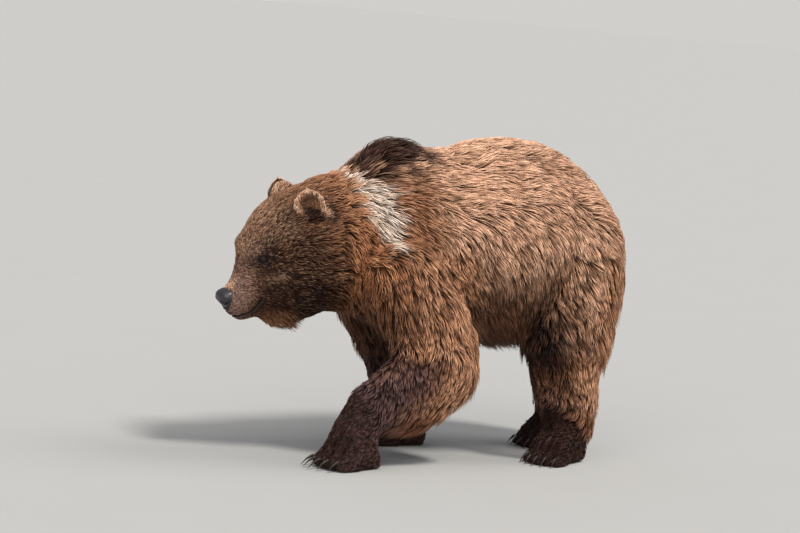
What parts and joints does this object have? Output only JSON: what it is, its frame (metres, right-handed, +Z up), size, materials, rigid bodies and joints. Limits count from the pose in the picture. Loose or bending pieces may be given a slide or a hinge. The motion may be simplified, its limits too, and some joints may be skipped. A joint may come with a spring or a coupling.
{
  "type": "brown bear",
  "caption": "Adult brown bear, a still life-size model in a slow walk with its head low, standing on flat soles; shoulder hump, small ears, long claws",
  "frame": {"origin": "middle of the bounding box's underside, on the floor between the feet", "axes": "+Z up, the bear faces -X, its left side is -Y"},
  "size_m": [1.4786, 0.6118, 1.0032],
  "materials": {
    "coat_body": "long golden-tan fur",
    "coat_head": "rufous brown fur",
    "coat_leg": "dark brown fur",
    "eye": "wet glossy",
    "nose": "damp leathery skin",
    "claw": "dark horn"
  },
  "bodies": {
    "root": {"head": "coat_head", "ear_left": "coat_head", "ear_right": "coat_head", "eye_left": "eye", "eye_right": "eye", "nose": "nose", "neck": "coat_head", "trunk": "coat_body", "tail": "coat_body", "upper_arm_left": "coat_body", "forearm_left": "coat_leg", "forepaw_left": "coat_leg", "upper_arm_right": "coat_body", "forearm_right": "coat_leg", "forepaw_right": "coat_leg", "thigh_left": "coat_body", "shank_left": "coat_leg", "hindpaw_left": "coat_leg", "thigh_right": "coat_body", "shank_right": "coat_leg", "hindpaw_right": "coat_leg", "fore_claw_left_1": "claw", "fore_claw_left_2": "claw", "fore_claw_left_3": "claw", "fore_claw_left_4": "claw", "fore_claw_left_5": "claw", "fore_claw_right_1": "claw", "fore_claw_right_2": "claw", "fore_claw_right_3": "claw", "fore_claw_right_4": "claw", "fore_claw_right_5": "claw", "hind_claw_left_1": "claw", "hind_claw_left_2": "claw", "hind_claw_left_3": "claw", "hind_claw_left_4": "claw", "hind_claw_left_5": "claw", "hind_claw_right_1": "claw", "hind_claw_right_2": "claw", "hind_claw_right_3": "claw", "hind_claw_right_4": "claw", "hind_claw_right_5": "claw"}
  },
  "joints": []
}
